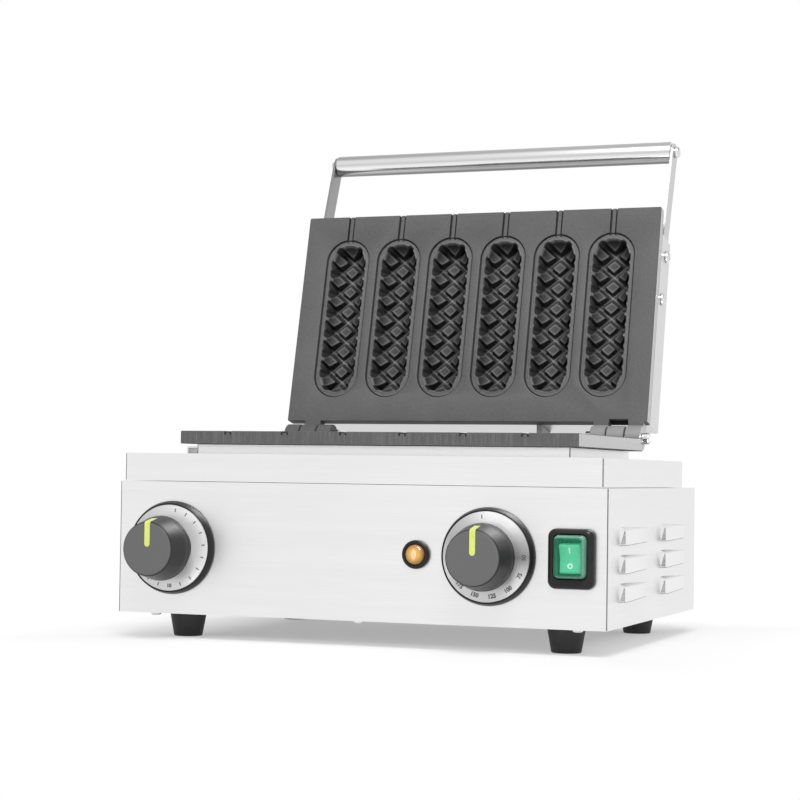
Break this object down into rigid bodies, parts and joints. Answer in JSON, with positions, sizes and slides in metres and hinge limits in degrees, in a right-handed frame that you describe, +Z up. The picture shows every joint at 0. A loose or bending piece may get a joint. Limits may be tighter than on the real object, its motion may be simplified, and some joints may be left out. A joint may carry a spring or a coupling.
{
  "type": "corn dog waffle iron",
  "caption": "Countertop corn dog waffle iron with six moulds, a hinged lid with a bar handle, a timer dial, a thermostat dial, a lamp and a rocker switch",
  "frame": {"origin": "centre of the footprint, lid open, at table level", "axes": "+X to the right as seen from the controls, +Y from the controls to the back, +Z up"},
  "size_m": [0.3472, 0.3463, 0.3705],
  "materials": {
    "steel_sheet": "satin brushed sheet steel with fine straight grain",
    "handle_steel": "smooth polished steel tube",
    "cast_plate": "dark grey fine-grained casting with a thin coat",
    "dark_steel": "dull heat-darkened steel",
    "zinc_screw": "bright plated steel",
    "black_plastic": "black moulded plastic with a soft sheen",
    "scale_metal": "brushed aluminium ring with printed marks",
    "pointer_paint": "yellow-green painted line",
    "amber_lens": "clear amber plastic lens",
    "green_boot": "clear green splash cover",
    "green_rocker": "green rocker with white marks",
    "black_rubber": "matt black rubber",
    "white_wool": "pressed mineral wool",
    "grey_plastic": "grey moulded plastic"
  },
  "bodies": {
    "base": {"base_casing": "steel_sheet", "bottom_plate": "steel_sheet", "foot_front_left": "black_rubber", "foot_front_right": "black_rubber", "foot_rear_left": "black_rubber", "foot_rear_right": "black_rubber", "deck_tray": "steel_sheet", "collar": "steel_sheet", "reflector_tray": "steel_sheet", "lower_plate": "cast_plate", "lower_heater": "dark_steel", "lower_clamp": "dark_steel", "lower_pad": "white_wool", "lower_bolt_left": "zinc_screw", "lower_bolt_right": "zinc_screw", "thermostat_bulb": "dark_steel", "hinge_pin_left": "zinc_screw", "hinge_pin_right": "zinc_screw", "hinge_nut_left": "zinc_screw", "hinge_nut_right": "zinc_screw", "stop_bracket": "steel_sheet", "timer_works": "grey_plastic", "thermostat_works": "grey_plastic", "timer_bezel": "black_plastic", "thermostat_bezel": "black_plastic", "timer_scale": "scale_metal", "thermostat_scale": "scale_metal", "lamp_bezel": "black_plastic", "lamp_lens": "amber_lens", "switch_frame": "black_plastic", "switch_boot": "green_boot", "switch_body": "black_plastic", "terminal_block": "grey_plastic", "mains_gland": "black_plastic", "lead_gland": "black_plastic"},
    "lid": {"upper_plate": "cast_plate", "upper_heater": "dark_steel", "upper_clamp": "dark_steel", "upper_pad": "white_wool", "upper_bolt_left": "zinc_screw", "upper_bolt_right": "zinc_screw", "lid_cover": "steel_sheet", "arm_left": "steel_sheet", "arm_right": "steel_sheet", "arm_screw_lower_left": "zinc_screw", "arm_screw_lower_right": "zinc_screw", "arm_screw_upper_left": "zinc_screw", "arm_screw_upper_right": "zinc_screw", "handle_tube": "handle_steel", "handle_rod": "zinc_screw", "handle_nut": "zinc_screw", "lid_gland": "black_plastic"},
    "timer_dial": {"timer_knob": "black_plastic", "timer_shaft": "zinc_screw", "timer_pointer": "pointer_paint"},
    "thermostat_dial": {"thermostat_knob": "black_plastic", "thermostat_shaft": "zinc_screw", "thermostat_pointer": "pointer_paint"},
    "rocker": {"switch_rocker": "green_rocker"}
  },
  "joints": [
    {"name": "lid_hinge", "type": "hinge", "parent": "base", "child": "lid", "pos_m": [0, 0.07355, 0.14045], "axis": [1, 0, 0], "range_deg": [0, 103.5]},
    {"name": "timer_turn", "type": "hinge", "parent": "base", "child": "timer_dial", "pos_m": [-0.1305, -0.13639, 0.0612], "axis": [0, 1, 0], "range_deg": [0, 300]},
    {"name": "thermostat_turn", "type": "hinge", "parent": "base", "child": "thermostat_dial", "pos_m": [0.0925, -0.13639, 0.0612], "axis": [0, 1, 0], "range_deg": [0, 280]},
    {"name": "switch_rock", "type": "hinge", "parent": "base", "child": "rocker", "pos_m": [0.1475, -0.1334, 0.0626], "axis": [-1, 0, 0], "range_deg": [0, 16]}
  ]
}
